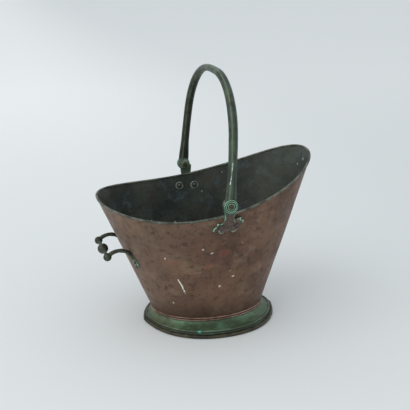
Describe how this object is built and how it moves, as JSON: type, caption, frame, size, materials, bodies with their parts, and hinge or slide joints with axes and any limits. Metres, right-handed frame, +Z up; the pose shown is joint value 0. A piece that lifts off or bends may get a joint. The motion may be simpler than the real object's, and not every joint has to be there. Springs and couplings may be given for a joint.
{
  "type": "kindling bucket",
  "caption": "Flared oval metal bucket with a high pouring lip, moulded foot, swinging bail and rear tipping handle, for kindling or coal.",
  "frame": {"origin": "on the floor, midway between the ends of the bucket and of its handles, on its middle plane", "axes": "+Z up; +X towards the high pouring lip; -X towards the tipping handle; the bail's pivots lie along Y"},
  "size_m": [0.3861, 0.2896, 0.4548],
  "materials": {
    "bucket_copper": "aged brown patina, dull",
    "pan_copper": "dark, tarnished",
    "foot_brass": "green patina",
    "lug_brass": "verdigris",
    "bail_brass": "dark green patina",
    "handle_brass": "dark olive patina",
    "rivet_copper": "aged"
  },
  "bodies": {
    "bucket": {"body_shell": "bucket_copper", "rolled_rim": "bucket_copper", "base_band": "bucket_copper", "floor_pan": "pan_copper", "handle_grip": "handle_brass", "foot_skirt_front": "foot_brass", "foot_skirt_back": "foot_brass", "foot_roll_front": "foot_brass", "foot_roll_back": "foot_brass", "lug_front": "lug_brass", "lug_back": "lug_brass", "lug_rivets_front": "rivet_copper", "lug_rivets_back": "rivet_copper", "lug_burrs_front": "rivet_copper", "lug_burrs_back": "rivet_copper", "pivot_pin_front": "lug_brass", "pivot_pin_back": "lug_brass", "pin_washer_front": "lug_brass", "pin_washer_back": "lug_brass", "handle_arm_front": "handle_brass", "handle_arm_back": "handle_brass", "leaf_rivets_front": "rivet_copper", "leaf_rivets_back": "rivet_copper", "leaf_burrs_front": "rivet_copper", "leaf_burrs_back": "rivet_copper"},
    "bail": {"bail": "bail_brass"}
  },
  "joints": [
    {"name": "bail_swing", "type": "hinge", "parent": "bucket", "child": "bail", "pos_m": [0.001, 0, 0.2505], "axis": [0, 1, 0], "range_deg": [-95, 66]}
  ]
}
